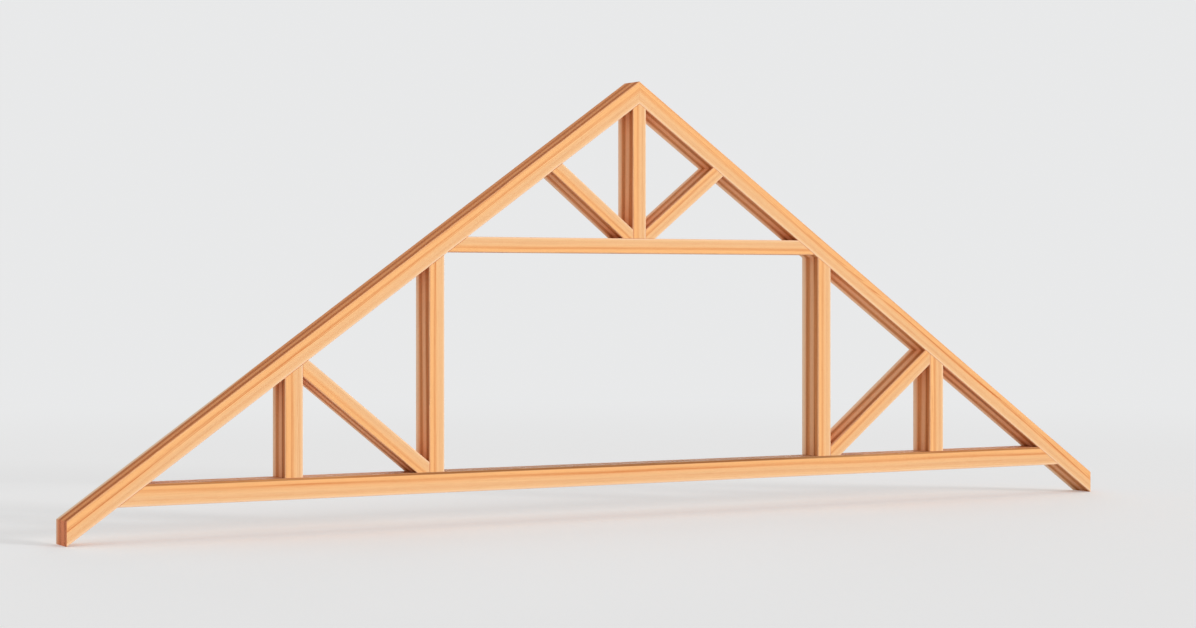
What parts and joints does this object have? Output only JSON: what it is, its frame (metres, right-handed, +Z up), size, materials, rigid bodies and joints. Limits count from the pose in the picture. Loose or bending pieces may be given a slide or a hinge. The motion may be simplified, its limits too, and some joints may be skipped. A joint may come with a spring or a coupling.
{
  "type": "attic roof truss",
  "caption": "Timber attic truss: sloping top chords with plumb-cut tails around a rectangular room frame, with a king post, posts and diagonals.",
  "frame": {"origin": "mid-span and mid-thickness, on the level of the two tail tips that the truss stands on", "axes": "+X along the span, +Y through the thickness of the timbers, +Z up to the peak"},
  "size_m": [11.7696, 0.3, 4.3463],
  "materials": {
    "sawn_softwood": "planed, unfinished, with eased arrises"
  },
  "bodies": {
    "root": {"bottom_chord": "sawn_softwood", "top_chord_right": "sawn_softwood", "top_chord_left": "sawn_softwood", "ceiling_tie": "sawn_softwood", "king_post": "sawn_softwood", "upper_diagonal_right": "sawn_softwood", "upper_diagonal_left": "sawn_softwood", "room_post_right": "sawn_softwood", "room_post_left": "sawn_softwood", "eaves_post_right": "sawn_softwood", "eaves_post_left": "sawn_softwood", "lower_diagonal_right": "sawn_softwood", "lower_diagonal_left": "sawn_softwood"}
  },
  "joints": []
}
